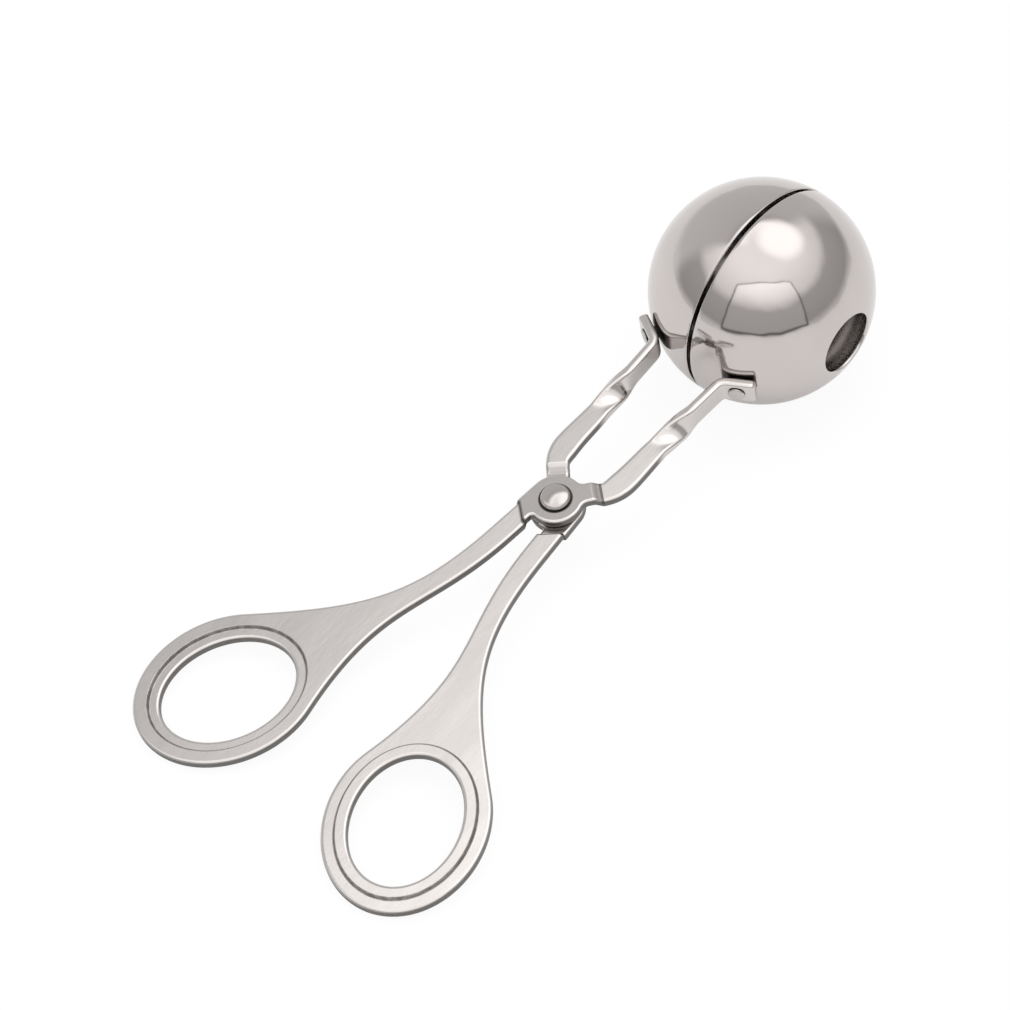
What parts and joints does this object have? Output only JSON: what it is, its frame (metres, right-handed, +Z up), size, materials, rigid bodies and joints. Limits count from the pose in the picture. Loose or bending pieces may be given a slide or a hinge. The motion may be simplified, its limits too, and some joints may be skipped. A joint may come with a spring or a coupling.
{
  "type": "meatball scoop",
  "caption": "Scissor-like steel meatball scoop: crossing stamped arms with finger loops open and close a hollow ball split into two cups.",
  "frame": {"origin": "on the table, under the middle of the box round the closed scoop as it lies", "axes": "+X from the finger loops to the ball, +Y to the user's left, +Z up from the table"},
  "size_m": [0.1694, 0.0786, 0.045],
  "materials": {
    "satin_steel": "satin, rounded edges",
    "polished_steel": "polished",
    "rivet_steel": "polished"
  },
  "bodies": {
    "lower_half": {"lower_arm": "satin_steel", "left_cup": "polished_steel", "left_cup_rivet": "rivet_steel", "pivot_rivet": "rivet_steel"},
    "upper_half": {"upper_arm": "satin_steel", "right_cup": "polished_steel", "right_cup_rivet": "rivet_steel"}
  },
  "joints": [
    {"name": "scissor_pivot", "type": "hinge", "parent": "lower_half", "child": "upper_half", "pos_m": [0.00081, 0, 0.01361], "axis": [0.1434, 0, -0.9897], "range_deg": [-0.5, 70]}
  ]
}
